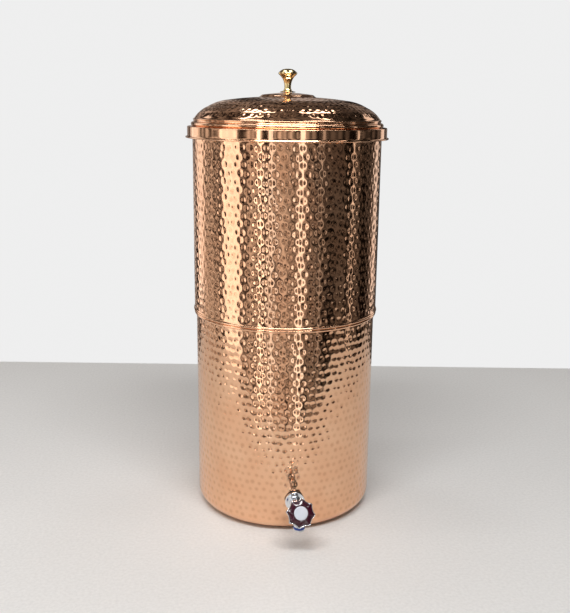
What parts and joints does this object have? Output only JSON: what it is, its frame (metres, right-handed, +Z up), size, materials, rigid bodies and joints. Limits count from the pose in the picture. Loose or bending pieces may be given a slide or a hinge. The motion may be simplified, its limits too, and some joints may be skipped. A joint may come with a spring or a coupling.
{
  "type": "gravity water filter with tap",
  "caption": "Gravity water filter: a hammered copper upper vessel with ceramic candles stands on a matching lower vessel with a screw-down tap, under a domed lid with a brass knob.",
  "frame": {"origin": "centre of the flat bottom of the lower vessel, on the surface it stands on", "axes": "+Z up along the vessels' common axis, -Y towards the tap, +X to the right of someone facing the tap"},
  "size_m": [0.2578, 0.3122, 0.5742],
  "materials": {
    "copper": "hammered and polished copper",
    "brass": "polished brass",
    "chrome": "polished chrome plating",
    "handle_face": "glossy wine-red plastic",
    "handle_cap": "glossy off-white plastic",
    "blue_ring": "glossy deep blue plastic",
    "white_nozzle": "glossy white plastic",
    "ceramic": "porous off-white ceramic",
    "candle_plastic": "moulded white plastic",
    "rubber": "black rubber"
  },
  "bodies": {
    "base_vessel": {"lower_vessel": "copper", "tap_body": "chrome", "outlet_nozzle": "white_nozzle", "outlet_ring": "blue_ring", "tap_outer_washer": "rubber", "tap_inner_washer": "rubber", "tap_lock_nut": "brass", "tap_bonnet": "chrome", "gland_packing": "rubber", "gland_nut": "chrome"},
    "filter_vessel": {"upper_vessel": "copper", "candle_1_ceramic": "ceramic", "candle_1_cap": "candle_plastic", "candle_1_top_washer": "rubber", "candle_1_bottom_washer": "rubber", "candle_1_wing_nut": "candle_plastic", "candle_2_ceramic": "ceramic", "candle_2_cap": "candle_plastic", "candle_2_top_washer": "rubber", "candle_2_bottom_washer": "rubber", "candle_2_wing_nut": "candle_plastic"},
    "lid": {"lid_shell": "copper", "lid_knob_collar": "brass", "lid_knob": "brass", "lid_knob_washer": "brass", "lid_knob_nut": "brass"},
    "valve": {"valve_washer": "rubber", "valve_jumper": "brass"},
    "tap_handle_turning": {"tap_spindle": "brass", "tap_handle": "chrome", "tap_handle_face": "handle_face", "tap_handle_cap": "handle_cap", "tap_handle_screw": "brass"}
  },
  "joints": [
    {"name": "upper_lift", "type": "slide", "parent": "base_vessel", "child": "filter_vessel", "axis": [0, 0, 1], "range_m": [0, 0.12]},
    {"name": "lid_lift", "type": "slide", "parent": "filter_vessel", "child": "lid", "axis": [0, 0, 1], "range_m": [0, 0.12]},
    {"name": "valve_lift", "type": "slide", "parent": "base_vessel", "child": "valve", "axis": [0, -0.866, 0.5], "range_m": [0, 0.0018]},
    {"name": "tap_turn", "type": "hinge", "parent": "valve", "child": "tap_handle_turning", "pos_m": [0, -0.155, 0.044], "axis": [0, -0.866, 0.5], "range_deg": [0, 360]}
  ],
  "couplings": [
    {"joint": "valve_lift", "follows": "tap_turn", "m_per_rad": 0.00028648}
  ]
}
